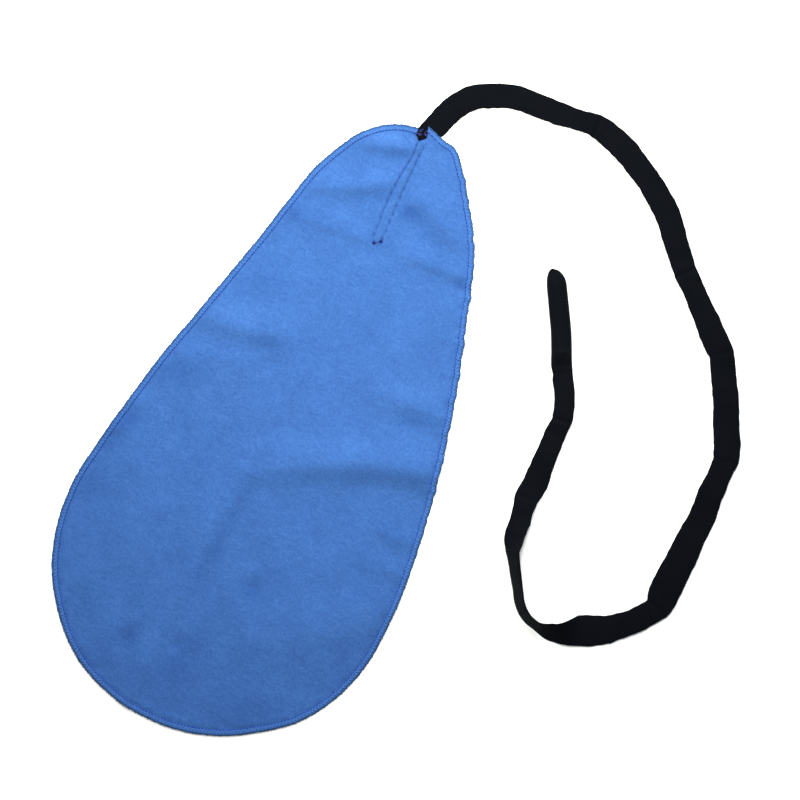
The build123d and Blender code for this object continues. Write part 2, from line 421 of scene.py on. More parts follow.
def tape_material():
    """Black woven tape: ribs along it, fine picks across it, a little dust in the weave, painted light on
    the pouch's shoulder.
    """
    n = Nodes("woven_black_tape")
    across = n.attribute("across")
    along = n.attribute("along")
    ribs = n.math("PINGPONG", n.math("DIVIDE", across, RIB_WIDTH), 0.5)
    slant = n.math("MULTIPLY", n.math("PINGPONG", across, RIB_WIDTH / 2), 0.8)
    picks = n.math("PINGPONG", n.math("DIVIDE", n.math("ADD", along, slant), PICK_LENGTH), 0.5)
    weave = n.math("ADD", ribs, picks)
    lint = n.math("MULTIPLY", n.math("GREATER_THAN", n.noise(420, 5, 0.7), 0.70), 0.30)
    colour = n.ramp(weave, 0.1, 0.9, (0.0007, 0.0010, 0.0019), (0.0024, 0.0032, 0.0060))
    colour = n.mix("ADD", lint, colour, (0.007, 0.008, 0.010))
    colour = n.tinted(colour, n.noise(60, 3), (0.8, 0.85, 0.9), (1.15, 1.1, 1.1))
    # Painted light that lifts the shaded slope of the weighted end's shoulder.
    colour = n.mix("ADD", n.attribute("worn"), colour, (0.0014, 0.0017, 0.0024))
    normal = n.bump(weave, 0.7, 0.12 * MM)
    return n.finished(colour, normal, {"Roughness": 0.8, "Specular IOR Level": 0.03})


def steel_material():
    """Turned steel rod: fine rings round it from the lathe, with patchy roughness."""
    n = Nodes("turned_steel")
    rings = n.noise(1.0, 3, 0.6, n.stretched((2600, 2600, 60)))
    colour = n.ramp(rings, 0.3, 0.7, (0.42, 0.42, 0.43), (0.60, 0.60, 0.61))
    roughness = n.ramp(n.noise(180), 0.3, 0.7, (0.28, 0.28, 0.28), (0.42, 0.42, 0.42))
    normal = n.bump(rings, 0.3, 0.02 * MM)
    return n.finished(colour, normal, {"Roughness": roughness, "Metallic": 1.0})


# ---- the tape

# The next lists are pairs of a distance along the tape from the neck, in mm, and a value there.
# Widths in mm: the tape is a soft flat tube, wide where it lies flat and narrower where it is round.
TAPE_WIDTHS = [
    (-17, 4.4), (-10.5, 4.4), (-9, 7.0), (-7.4, 10.6), (-4, 12.6), (5, 14.4), (35, 14.4), (80, 13.6),
    (91, 12.1), (100, 12.3), (104.5, 14.0), (122, 14.9), (146, 14.1), (165, 14.8), (206, 13.5),
    (218, 12.8), (248, 15.3), (262, 14.6), (314, 15.6), (326, 13.6), (340, 14.9), (364, 16.0),
    (376, 17.2), (403, 18.4), (408, 17.3), (412.5, 15.0), (416, 14.2), (432, 14.3), (449, 17.4),
    (455, 18.6), (464, 16.2), (480, 15.0), (530, 14.4), (541, 13.0), (556, 12.4), (566, 14.6),
    (574, 14.6), (590, 12.8), (615, 11.9), (640, 12.0),
]
# Tilts in degrees: it stands on its edge round its tightest bend.
TAPE_TILTS = [
    (457, 0), (474, 42), (486, 68), (505, 70), (524, 66), (531, 61), (540, 28), (556, 12), (566, 0),
]
# Kinks, where the tape turns a corner: how far the corner stands out to the left of its run, in mm.
TAPE_KINKS = [(105, -0.5), (206, -0.5), (257, 1.4), (318.5, 1.6), (412, 2.7), (563, 0.9), (612, -1.4)]
# Bends without a crease, given in the same way.
TAPE_BENDS = [
    (12, -1.0), (38, -0.7), (80, -0.6), (96, -0.4), (114, -0.6), (123, -0.6), (243, -1.0),
    (331, -0.4), (340, -1.0), (400, -0.5), (421, -0.6), (442, 1.1), (459, -0.9), (504, 0.7),
    (531, 1.0), (549, -1.1), (573, -0.6), (640, -1.6),
]
# How far along the tape a kink or a bend reaches, in mm.
BEND_REACH = 6.5
SECTION_POINTS = 28
# The roundness of the tape's section: 1 is an oval, and less is flatter with squarer sides.
FLAT_SECTION = 0.62

# The weighted end: widths and heights in mm by distance past the fold line.
END_BEFORE_FOLD = 10 * MM
END_LENGTH = 60.7 * MM
END_WIDTHS = [(-12, 12.0), (-3, 12.2), (0, 11.6), (5, 12.2), (14, 11.9), (36, 11.7), (61, 11.4)]
END_HEIGHTS = [(-12, 1.9), (-4, 1.6), (0, 1.25), (4.6, 1.7), (12.5, 9.3), (46, 9.4), (61, 9.0)]
END_LEAN = 1.4 * MM
TIP_SKEW = 1.7 * MM
DOME_START = 50.5 * MM
SLUG_START = 11.2 * MM
SLUG_LENGTH = 45 * MM
SLUG_ROUNDING = 2.5 * MM
RETAINING_SEAM_AT = 3.2 * MM
RETAINING_SEAM_LENGTH = 11.2 * MM


def eased(at, pairs):
    """The value at a distance in metres from pairs in mm, eased between them, in the pairs' own unit."""
    places, values = np.array(pairs, float).T
    at = np.clip(np.asarray(at) / MM, places[0], places[-1])
    i = np.clip(np.searchsorted(places, at) - 1, 0, len(places) - 2)
    t = (at - places[i]) / (places[i + 1] - places[i])
    return values[i] + (values[i + 1] - values[i]) * (0.4 * t + 0.6 * smooth(t))


def tape_line():
    """The points of the smooth curve that has the tail's and the strap's route as control points."""
    curve = bpy.data.curves.new("tape_line", "CURVE")
    curve.dimensions = "3D"
    line = curve.splines.new("NURBS")
    route = TAIL_ROUTE + STRAP_ROUTE
    line.points.add(len(route) - 1)
    for point, place in zip(line.points, route):
        point.co = (*[c * MM for c in place], 1.0)
    line.order_u = 3
    line.use_endpoint_u = True
    line.resolution_u = 32
    holder = bpy.data.objects.new("tape_line", curve)
    mesh = bpy.data.meshes.new_from_object(holder)
    points = np.array([v.co for v in mesh.vertices], float)
    bpy.data.objects.remove(holder)
    return points


def tape_course():
    """The curve's points, and the distance of each from the neck."""
    line = tape_line()
    far = along_path(line)
    nearest = np.argmin(np.linalg.norm(line - np.array(NECK) * MM, axis=1))
    return line, far - far[nearest]


def loft(name, centres, across, widths, heights, along, up=UP, roundness=FLAT_SECTION, worn=0.0):
    """A closed tube through superellipse sections, with sharp edges round its two caps."""
    rows = len(centres)
    turn = np.arange(SECTION_POINTS) * math.tau / SECTION_POINTS
    cos, sin = np.cos(turn), np.sin(turn)
    across = np.broadcast_to(across, centres.shape)
    up = np.broadcast_to(up, centres.shape)
    power = np.broadcast_to(roundness, rows)[:, None]
    x = widths[:, None] / 2 * np.sign(cos) * np.abs(cos) ** power
    z = heights[:, None] / 2 * np.sign(sin) * np.abs(sin) ** power
    points = centres[:, None] + x[..., None] * across[:, None] + z[..., None] * up[:, None]
    faces = tube_faces(rows, SECTION_POINTS, turned=True)
    along, worn = (np.repeat(np.broadcast_to(v, rows), SECTION_POINTS) for v in (along, worn))
    tube = add_mesh(name, points.reshape(-1, 3), faces, along=along, across=x.reshape(-1), worn=worn)
    for cap in (tube.data.polygons[-1], tube.data.polygons[-2]):
        cap.use_smooth = False
    last_ring = (rows - 1) * SECTION_POINTS
    for edge in tube.data.edges:
        edge.use_edge_sharp = max(edge.vertices) < SECTION_POINTS or min(edge.vertices) >= last_ring
    return tube


def tape_frames(line, along, widths, heights):
    """Centres, across and up directions of the tape, with its tilts and kinks, lying on the surface."""
    left = left_of(np.gradient(line, axis=0))
    tilt = np.radians(eased(along, TAPE_TILTS))[:, None]
    across = np.cos(tilt) * left - np.sin(tilt) * UP
    normal = np.sin(tilt) * left + np.cos(tilt) * UP
    at = along / MM
    bends = [out * np.exp(-np.abs(at - place) / BEND_REACH) for place, out in TAPE_KINKS + TAPE_BENDS]
    shift = (sum(bends) + 0.25 * ripple(at, (37, 23, 61), 5)) * MM
    rest = widths / 2 * np.sin(tilt[:, 0]) + heights / 2 * np.cos(tilt[:, 0])
    creases = sum(0.5 * bell((at - place) / 5) for place, _ in TAPE_KINKS) * MM
    wave = 0.35 * MM * np.maximum(0, 1 + ripple(at, (48, 75, 31), 8))
    centres = line + shift[:, None] * left
    lying = climb(at, 6, 12)
    centres[:, 2] = line[:, 2] * (1 - lying) + (rest + wave + creases) * lying
    return centres, across, normal


def tape_size(along):
    """Widths and heights of the tape: a narrower stretch is rounder, and a kink is pressed flat."""
    widths = eased(along, TAPE_WIDTHS) * MM + 0.22 * MM * ripple(along / MM, (9, 14, 6), 3)
    heights = TAPE_THICKNESS + 0.22 * np.clip(TAPE_WIDTH - widths, 0, 4 * MM)
    pressed = sum(0.35 * bell((along / MM - at) / 1.6) for at, _ in TAPE_KINKS)
    return widths, heights * (1 - pressed)


def fold_place():
    """The hinge line's middle, and the direction from it to the tip."""
    joint = frame["joints"][0]
    return np.array(joint["pos_m"], float), left_of(joint["axis"])


def make_tape(line, along, tape):
    """The strap from the pleat to the weighted end, its centres, and its section at their joint."""
    keep = np.linalg.norm(line - fold_place()[0], axis=1) > END_BEFORE_FOLD
    line, along = line[keep], along[keep]
    widths, heights = tape_size(along)
    centres, across, up = tape_frames(line, along, widths, heights)
    joint = {"place": line[-2], "centre": centres[-2], "across": across[-2], "along": along[-2]}
    joint |= {"width": widths[-2], "height": heights[-2]}
    # The last ring lies inside the weighted end.
    widths[-1] *= 0.8
    heights[-1] *= 0.6
    strap = loft("pull_strap_tape", centres, across, widths, heights, along, up)
    return dress(strap, tape, "pull_strap"), centres, joint


def make_tail(first_centre, tape):
    """The rest of the tape's end, sewn in between the two layers of the pleat."""
    y = np.linspace(TAIL_FOOT_Y / MM, first_centre[1] / MM + 0.4, 60)
    x = read(y, LEFT_ROW) + TAIL_FROM_ROW
    centres = np.stack([x * MM, y * MM, np.full(len(y), first_centre[2])], axis=-1)
    widths = np.full(len(y), TAPE_WIDTHS[0][1] * MM)
    heights = 0.8 * TAPE_THICKNESS * climb(y, y[0] - 2.5, 6)
    centres[:, 2] -= (TAPE_THICKNESS - heights) / 4
    tail = loft("strap_tail_tape", centres, (-1.0, 0.0, 0.0), widths, heights, y * MM)
    return dress(tail, tape, "strap_tail")


def end_lean(at):
    """How far the weighted end leans to the right of its heading, by distance past the fold line."""
    return END_LEAN * climb(at / MM, 2, 26)


def make_weighted_end(line, joint, tape):
    """The end of the tape: flat past the fold line, then a soft pouch with a rounded, closed tip.

    It starts with the strap's section at their joint, and the strap's last ring lies inside it.
    """
    fold, heading = fold_place()
    near = np.linalg.norm(line - fold, axis=1) <= END_BEFORE_FOLD
    run_in = np.concatenate([[joint["place"]], line[near]])
    straight = np.arange(0.4 * MM, END_LENGTH + 0.01 * MM, 0.6 * MM)
    end = run_in[-1] + heading * ((fold - run_in[-1]) @ heading)
    past = np.concatenate([[0.0], straight, [END_LENGTH + 0.05 * MM]])
    centres = np.concatenate([run_in, end + past[:, None] * heading])
    at = np.concatenate([(run_in - end) @ heading, past])
    left = left_of(np.gradient(centres, axis=0))
    left[0] = joint["across"]
    own = climb(at, at[0], 8 * MM)
    widths = eased(at, END_WIDTHS) * MM * own + joint["width"] * (1 - own)
    heights = eased(at, END_HEIGHTS) * MM * own + joint["height"] * (1 - own)
    rise = np.clip((at - DOME_START) / (END_LENGTH + 0.15 * MM - DOME_START), 0, 0.998)
    dome = np.sqrt(1 - rise**2.1)
    roundness = FLAT_SECTION + (1 - FLAT_SECTION) * climb(at, 3 * MM, 8 * MM)
    middle = heights / 2 * np.minimum(1.0, 0.25 + 0.75 * (0.4 + 0.6 * dome))
    centres[:, 2] = middle * own + joint["centre"][2] * (1 - own)
    lean = 0.3 * MM * bell((at / MM - 1) / 3) + end_lean(at) - TIP_SKEW * (1 - dome)
    aside = (joint["centre"] - joint["place"]) @ left[0]
    centres += (aside * (1 - own) - lean * own)[:, None] * left
    distance = joint["along"] + along_path(centres)
    # Painted light on the slope up to the slug, which the lamps leave dark.
    worn = bell((at / MM - 8.5) / 5)
    section = {"roundness": roundness, "worn": worn}
    pouch = loft("weighted_end_pouch", centres, left, widths * dome, heights * dome, distance, **section)
    dress(pouch, tape, "weight_pocket", body=None)
    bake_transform(pouch)
    return pouch


def make_slug():
    """The steel rod: a round bar with rounded ends that follows the middle of the pouch."""
    fold, heading = fold_place()
    left = left_of(heading)
    low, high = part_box("weight_slug")
    radius = (high[2] - low[2]) / 2
    turn = np.linspace(0, math.pi / 2, 7)
    bevel = SLUG_ROUNDING * (1 - np.cos(turn))
    ends = radius - SLUG_ROUNDING * (1 - np.sin(turn))
    middle = np.linspace(3 * MM, SLUG_LENGTH - 3 * MM, 40)
    at = SLUG_START + np.concatenate([bevel, middle, SLUG_LENGTH - bevel[::-1]])
    diameters = 2 * np.concatenate([ends, np.full(len(middle), radius), ends[::-1]])
    centres = fold + at[:, None] * heading - end_lean(at)[:, None] * left
    centres[:, 2] = (low[2] + high[2]) / 2
    slug = loft("weight_slug_rod", centres, left, diameters, diameters, at, roundness=1.0)
    return dress(slug, steel_material(), "weight_slug", "weighted_end")


def seam_path(start, end, stitches, over, under):
    """A line of stitches from start to end: out at the surface between holes, and in at each."""
    t = np.linspace(0, 1, stitches * 8 + 1)
    path = start + t[:, None] * (end - start)
    hole = np.abs(np.sin(math.pi * stitches * t)) ** 0.5
    path[:, 2] = under + (over - under) * hole
    return path


def make_weight_threads():
    """The seam that keeps the slug in, and the bar that closes the tip."""
    fold, heading = fold_place()
    left = left_of(heading)
    middle = fold + RETAINING_SEAM_AT * heading
    half = RETAINING_SEAM_LENGTH / 2 * left
    rows = [seam_path(middle - half, middle + half, 6, face * MM, 0.9 * MM) for face in (1.95, 0.25)]
    retaining = add_threads("weight_retaining_stitches", rows, 0.2 * MM)
    tip = fold + END_LENGTH * heading + (TIP_SKEW - END_LEAN) * left
    bars = []
    for height in (3.85, 4.35, 4.85, 5.35):
        run = np.linspace(-1, 1, 9)[:, None]
        bar = tip + 1.5 * MM * run * left - 0.9 * MM * run**2 * heading
        bar[:, 2] = height * MM
        bars.append(bar)
    closing = add_threads("tip_closing_stitches", bars, 0.24 * MM)
    black = thread_material("black_thread", (0.0015, 0.002, 0.003), (0.005, 0.006, 0.009))
    dress(retaining, black, "weight_retaining_seam", "weighted_end")
    dress(closing, black, "tip_closing_seam", "weighted_end")
    return [retaining, closing]


# ---- the cloth

COLUMNS = 280
RIM_INSETS = [0, 0.25, 0.6, 1.1, 1.7, 2.3, 2.8, 3.2, 3.5, 3.8, 4.3, 5.2, 6.5, 8.0]
INNER_RINGS = 60
SPINE = ((0.0, -110.0), (-2.6, 172.0))

# Folds of the cloth: the crest as (x, y, height), then how far its two sides reach, all in mm.
# The first reach is towards the top of the picture, and the second away from it.
FOLDS = [
    ([(-24, -44, 0), (-8, -33, 1.7), (17, -17, 3.4), (45, -3, 4.4), (67, 5, 4.7), (92, 11, 4.8)], 19, 11.5),
    ([(-12, -38, 0.8), (-13, -60, 1.5), (-13, -85, 1.4), (-18, -130, 0)], 10, 7),
    ([(-86, 36, 0.6), (-72, 36, 2.1), (-52, 37, 2.4), (-34, 43, 2.3), (-16, 50, 0)], 16, 8),
    ([(-88, -4, 0.6), (-72, 9, 1.4), (-50, 18, 1.4), (-26, 25, 0)], 9, 16),
    ([(-56, 128, 0.3), (-44, 132, 2.3), (-28, 139, 2.8), (-14, 148, 2.6), (-7, 153, 1.3)], 9, 7),
    ([(-36, 165, 0), (-28, 166.5, 1.9), (-16, 170, 2.7), (-6, 175, 1.9)], 7, 5),
    ([(-60, 110, 0.8), (-32, 113, 1.4), (-14, 115, 1.3), (-4, 116, 0.8)], 11, 5),
    ([(3, 149, 1.0), (14, 149, 3.1), (32, 141, 2.6), (52, 133, 1.6)], 13, 8),
    ([(10, 116, 0), (24, 117, 1.5), (42, 119, 1.9), (60, 122, 2.0)], 9, 5),
    ([(30, 36, 0), (44, 39, 1.7), (60, 40.5, 2.1), (82, 40, 2.0)], 13, 9),
    ([(20, -130, 0), (45, -114, 2.0), (68, -98, 2.4), (94, -72, 2.2)], 20, 18),
    ([(-76, -21, 0), (-97, -29, 2.2)], 7, 6),
    ([(-77, -39, 0), (-100, -47, 2.0)], 7, 6),
    ([(60, -30, 0), (80, -33, 1.1), (96, -31, 1.1)], 8, 7),
    ([(66, -50, 0), (82, -52, 0.9), (100, -50, 0.9)], 7, 7),
    ([(-16, -140, 0), (-17, -160, 1.1), (-17, -186, 0.9)], 5, 5),
]
# Small hollows: middle, reach and depth, in mm.
HOLLOWS = [
    (-51, -122, 7, 0.7), (-33, -153, 6, 1.0), (-6, -142, 6, 0.6), (21, -95, 7, 0.9), (-38, 5, 9, 0.4),
]

# Patches where the pile lies the other way, with painted light and shade of small folds and ripples:
# middle x, y, reach along and across, the angle it runs at in degrees, and how much lighter (above 0)
# or darker (below 0) it looks, from -1 to 1. Lengths in mm.
NAP_AND_FOLD_SHADE = [
    (8, 140, 7, 4.5, 10, -1.0), (23, 134, 9, 4, -23, -0.45), (36, 121, 8, 3.5, -55, -0.3),
    (-10, 168, 8, 3.5, 20, -0.4), (-22, 174, 15, 5, 12, 0.7), (-16, 141, 15, 4, 30, -0.35),
    (-52, 111, 7, 4, -15, -0.7), (-48, 67, 15, 7, 20, -0.3), (-54, 46, 19, 7, 20, 0.35),
    (-32, 36, 12, 5, 25, -0.25), (-74, 1, 14, 8, 25, -0.5), (-6, 20, 22, 3, 80, -0.2),
    (-88, -39, 9, 6, 60, -0.9), (-91, -55, 6, 5, 60, -0.7), (-66, -39, 14, 9, 20, 0.2),
    (-90, -81, 16, 9, 90, -0.3), (-9, -78, 32, 4.5, 87, -0.35), (-18, -62, 20, 5, 85, 0.3),
    (21, -96, 6, 6, 0, -0.75), (-33, -151, 7, 6, 70, -0.5), (-22, -147, 10, 4, 100, 0.3),
    (-1, -149, 13, 10, 80, -0.55), (82, -32, 9, 5, 25, -0.35), (71, -58, 9, 8, 0, -0.2),
    (84, -14, 9, 5, 25, 0.25), (42, -160, 25, 8, 22, -0.3), (88, -122, 14, 7, 50, -0.25),
    (73, -97, 22, 6, 38, 0.2), (52, 115, 5, 3, 10, -0.9), (67, 80, 4, 3, 90, -0.4),
    (76, 50, 3, 3, 0, -0.4), (55, 47, 14, 7, 20, 0.4), (66, 32, 12, 4, 12, -0.35),
    (12, 67, 12, 9, 0, -0.2), (42, 5, 28, 5, 22, 0.2),
]

# Where the two seams of the pleat run, from the foot up, as (y, x) in mm.
LEFT_ROW = [
    (112, -2.6), (115.2, -2.8), (118, -4.3), (128, -5.0), (133, -5.7), (147, -5.8), (159, -5.2),
    (170, -3.8), (181, -4.5),
]
RIGHT_ROW = [(112, 0.2), (117.7, 0.8), (122.6, 0.9), (128, 0.5), (140, -0.1), (163, -0.5), (181, -0.3)]
FOOT_KNOTS = [(-2.6, 115.2), (0.8, 117.7)]
PLEAT_HEIGHTS = [(110, 0), (116, 0.6), (128, 0.9), (140, 1.4), (152, 1.8), (168, 2.1), (190, 2.1)]

# The next two have an entry for each side of the cloth: 1 is the right, and -1 the left.
# Where the slit's lips lie, as (inset, x, y) in mm: the left under the strap and the right over it.
LIPS = {
    1: [(0, -3.1, 189.2), (3, -2.0, 186.2), (5.2, -0.9, 183.8), (6.5, -1.2, 182.2), (8, -3.1, 180.4)],
    -1: [(0, -6.4, 186.3), (3, -6.7, 183.8), (5.2, -6.2, 181.6), (6.5, -5.0, 180.4), (8, -3.1, 180.4)],
}
# How far the cut edge lies outside its arcs, as (distance along the edge from the foot, shift), in mm.
EDGE_SHIFTS = {
    1: [(0, -0.7), (60, -1.6), (95, 0), (150, -0.4), (188, 0.7), (240, 0), (290, -0.9), (345, -1.5),
        (392, 0.1), (418, -0.8), (448, -0.1)],
    -1: [(0, -0.7), (56, 0.9), (84, 0.1), (150, -0.4), (190, 0.8), (245, 1.0), (300, -1.0), (340, -1.4),
         (392, 0.4), (440, -1.3), (458, -2.2)],
}


def side_arcs(turns, neck_radius):
    """(radius, turn) of one side's arcs. The long side's radius makes up the cloth's length."""
    radii = [BELLY_RADIUS, 0.0, SHOULDER_RADIUS, neck_radius]
    headings = np.radians(np.concatenate([[0], np.cumsum(turns)]))
    rises = np.cos(headings[:-1]) - np.cos(headings[1:])
    radii[1] = (CLOTH_LENGTH - sum(radius * rise for radius, rise in zip(radii, rises))) / rises[1]
    return list(zip(radii, np.radians(turns)))


SIDES = {1: side_arcs(RIGHT_TURNS, RIGHT_NECK_RADIUS), -1: side_arcs(LEFT_TURNS, LEFT_NECK_RADIUS)}


def side_length(side):
    return sum(radius * turn for radius, turn in SIDES[side])


def flat_outline(side, distance, inset):
    """Places (x, y) on one side's arcs, at a distance along them from the foot, moved in by inset."""
    distance, inset = np.broadcast_arrays(distance, inset)
    start = np.array([0.0, -CLOTH_LENGTH / 2])
    heading = 0.0
    before = 0.0
    for radius, turn in SIDES[side]:
        centre = start + radius * np.array([-math.sin(heading), math.cos(heading)])
        angle = heading + (distance - before) / radius
        spoke = np.stack([np.sin(angle), -np.cos(angle)], axis=-1)
        on_arc = centre + (radius - inset)[..., None] * spoke
        place = np.where((distance >= before)[..., None], on_arc, place) if before else on_arc
        heading += turn
        start = centre + radius * np.array([math.sin(heading), -math.cos(heading)])
        before += radius * turn
    return place * (side, 1)


def crest(x, y, points, above, below):
    """The height that a fold with a sloping side each way adds at x, y, all in mm."""
    best = np.full(x.shape, 1e9)
    height = np.zeros(x.shape)
    up = np.zeros(x.shape)
    for (x0, y0, h0), (x1, y1, h1) in zip(points, points[1:]):
        dx, dy = x1 - x0, y1 - y0
        t = np.clip(((x - x0) * dx + (y - y0) * dy) / (dx * dx + dy * dy), 0, 1)
        off_x, off_y = x - x0 - t * dx, y - y0 - t * dy
        far = np.hypot(off_x, off_y)
        nearer = far < best
        best = np.where(nearer, far, best)
        height = np.where(nearer, h0 + t * (h1 - h0), height)
        up = np.where(nearer, off_x * IMAGE_UP[0] + off_y * IMAGE_UP[1], up)
    share = np.clip(0.5 + up / np.maximum(best, 0.3) / 2, 0, 1)
    reach = below + (above - below) * smooth(share)
    return height * np.exp(-((best / reach) ** 2) * 1.2 - 0.15 * best / reach)


def knots(x, y, reach):
    """1 at each knot of the pleat's foot, falling away within reach, all in mm."""
    return sum(bell(np.hypot(x - knot_x, y - knot_y) / reach) for knot_x, knot_y in FOOT_KNOTS)


def needle_groove(inset):
    """1 along the overlock's needle line, which is pulled into the cloth, at an inset in mm."""
    return bell((inset - 3.2) / 0.45)


def pleat_height(x, y):
    """The fold of cloth over the strap's tail: a step up at its left, a band, and a long slope."""
    left, right = read(y, LEFT_ROW), read(y, RIGHT_ROW)
    full = read(y, PLEAT_HEIGHTS) * climb(y, 110, 8)
    step = climb(x, left - 0.5, 0.9)
    slope_length = 13 - 3 * climb(y, 150, 30)
    slope = np.where(x > right, bell((x - right) / slope_length), 1.0)
    puff = 0.35 * np.clip(1 - ((x - (left + right) / 2) / 3.0) ** 2, 0, 1)
    pinch = 0.30 * pulse(y, SEAM_PITCH / MM) ** 3
    valley = (0.32 + pinch) * bell((x - right) / 0.85)
    valley += (0.22 + pinch) * bell((x - left + 0.1) / 0.8) * (1 - 0.65 * climb(y, 138, 22))
    sewn = climb(y, 114, 4)
    return full * step * slope * (1 + 0.12 * puff) + (puff - valley) * sewn - 0.45 * knots(x, y, 1.3)


def cloth_crease(x, y, inset):
    """Painted shade, from 0 to 1, at x, y in mm: in the seams' grooves, at the knots and along the cut
    edge.
    """
    left, right = read(y, LEFT_ROW), read(y, RIGHT_ROW)
    stitch = pulse(y, SEAM_PITCH / MM) ** 2
    folded = climb(y, 126, 20)
    pulled = climb(y, 140, 16)
    # Painted shade down the pleat's rows, darkest at the stitch holes, then at the knots, the needle line
    # and the cut edge.
    rows = (0.20 + 0.50 * stitch + 0.30 * folded) * bell((x - left + 0.4) / 0.7)
    rows += (0.20 + 0.55 * stitch * (1 - 0.5 * pulled) + 0.35 * pulled) * bell((x - right) / 0.6)
    rows *= climb(y, 114.5, 2) * (y < 184)
    crease = rows + knots(x, y, 1.1) + 0.40 * needle_groove(inset) + 0.60 * (inset < 0.7)
    return np.clip(crease, 0.0, 1.0)


def cloth_nap(x, y, inset):
    """How light the cloth looks, from 0 to 1 with 0.5 as most of it, at x, y in mm: pile patches and
    painted fold shade.
    """
    shade = 0.15 * climb(inset, 0.3, 0.4) * (1 - climb(inset, 2.6, 0.4))
    for middle_x, middle_y, along, across, angle, amount in NAP_AND_FOLD_SHADE:
        cos, sin = math.cos(math.radians(angle)), math.sin(math.radians(angle))
        u = (x - middle_x) * cos + (y - middle_y) * sin
        v = (y - middle_y) * cos - (x - middle_x) * sin
        shade = shade + amount * bell(np.hypot(u / along, v / across))
    return np.clip(0.5 + shade / 2, 0.0, 1.0)


def cloth_height(x, y, inset, side, distance):
    """Height of the cloth's upper face in mm, at x, y in mm. inset and distance follow its edge."""
    h = sum(crest(x, y, *fold) for fold in FOLDS)
    h -= sum(depth * bell(np.hypot(x - hx, y - hy) / reach) for hx, hy, reach, depth in HOLLOWS)
    roll = 0.3 * np.sin(x / 13.0 + 1.3 * np.sin(y / 31.0)) * np.sin(y / 19.0 + 0.8)
    roll += 0.09 * np.sin(x / 4.1 + 2.0 * np.sin(y / 9.0)) * np.sin(y / 5.3 + 1.7 * np.sin(x / 11.0))
    h += roll * smooth(inset / 10) + 0.35 + 0.5 * smooth(inset / 25)
    h = np.maximum(h, 0.02 + 0.1 * np.tanh(h))
    # The overlocked rim: flatter, thicker, drawn in at the needle line and puffed up inside it.
    h *= 1 - 0.35 * (1 - climb(inset, 3.0, 5.5))
    h += RIM_LIFT / MM * (1 - smooth(inset - 3.0))
    h -= (0.22 + 0.10 * pulse(distance, OVERLOCK_PITCH)) * needle_groove(inset)
    puff = 0.55 + 0.45 * ripple(distance / MM, (23, 37, 11, 61), 21)
    h += 0.34 * puff * bell((inset - 5.4) / 1.5)
    h += 0.9 * np.abs(edge_waves(distance, side)) * (1 - climb(inset, 1, 9))
    h += pleat_height(x, y) * climb(inset, -3, 4)
    # At the neck the right side lies over the strap, and the left side under it.
    over = climb(y, 176, 7) * (1 - climb(x, 7.5, 9)) * (side > 0)
    under = climb(y, 176, 6) * bell((x + 4) / 9) * (side < 0)
    h = np.maximum(h, 2.3 * over * climb(x, -7, 2))
    h = h * (1 - 0.85 * under * (inset < 9)) + 0.15 * under
    return np.clip(h, 0.0, 8.0)


def edge_waves(distance, side):
    """The stretched right edge's waves, from -1 to 1: none on the left edge or round the foot."""
    d = distance / MM
    if np.ndim(side) == 0 and side < 0:
        return 0.12 * ripple(d, (31, 47), 15)
    reach = climb(d, 195, 60) * (1 - climb(d, 425, 30))
    waves = ripple(d, (9.5, 14.0, 23.0, 6.3), 11)
    return 0.10 * ripple(d, (31, 47), 16) + 0.42 * waves * reach


def lip_place(side, inset):
    """Places (x, y) along one lip of the slit."""
    insets, xs, ys = np.array(LIPS[side], float).T
    return np.stack([np.interp(inset / MM, insets, values) for values in (xs, ys)], axis=-1) * MM


def cloth_points(side, distance, inset):
    """Points on the cloth's upper face, by side, distance along the edge and inset, in metres."""
    distance, inset = np.broadcast_arrays(distance, inset)
    total = side_length(side)
    shift, top_shift = eased(distance, EDGE_SHIFTS[side]) * MM, EDGE_SHIFTS[side][-1][1] * MM
    place = flat_outline(side, distance, inset - shift)
    near_slit = climb(distance, total - 11 * MM, 11 * MM)[..., None]
    place += near_slit * (lip_place(side, inset) - flat_outline(side, total, inset - top_shift))
    if side > 0:
        dip = bell(((total - distance) / MM - 8) / 5.0) * (1 - climb(inset / MM, 2, 8))
        place[..., 1] -= 2.2 * MM * dip
    waves = 0.75 * edge_waves(distance, side) * (1 - climb(inset / MM, 1, 7))
    outward = flat_outline(side, distance, inset - 1 * MM) - flat_outline(side, distance, inset)
    place += waves[..., None] * outward
    return on_cloth(place, inset, side, distance)


def on_cloth(place, inset, side, distance):
    """Places (x, y) with the height of the cloth's upper face added."""
    z = cloth_height(place[..., 0] / MM, place[..., 1] / MM, inset / MM, side, distance) * MM
    return np.concatenate([place, (z + CLOTH_THICKNESS)[..., None]], axis=-1)


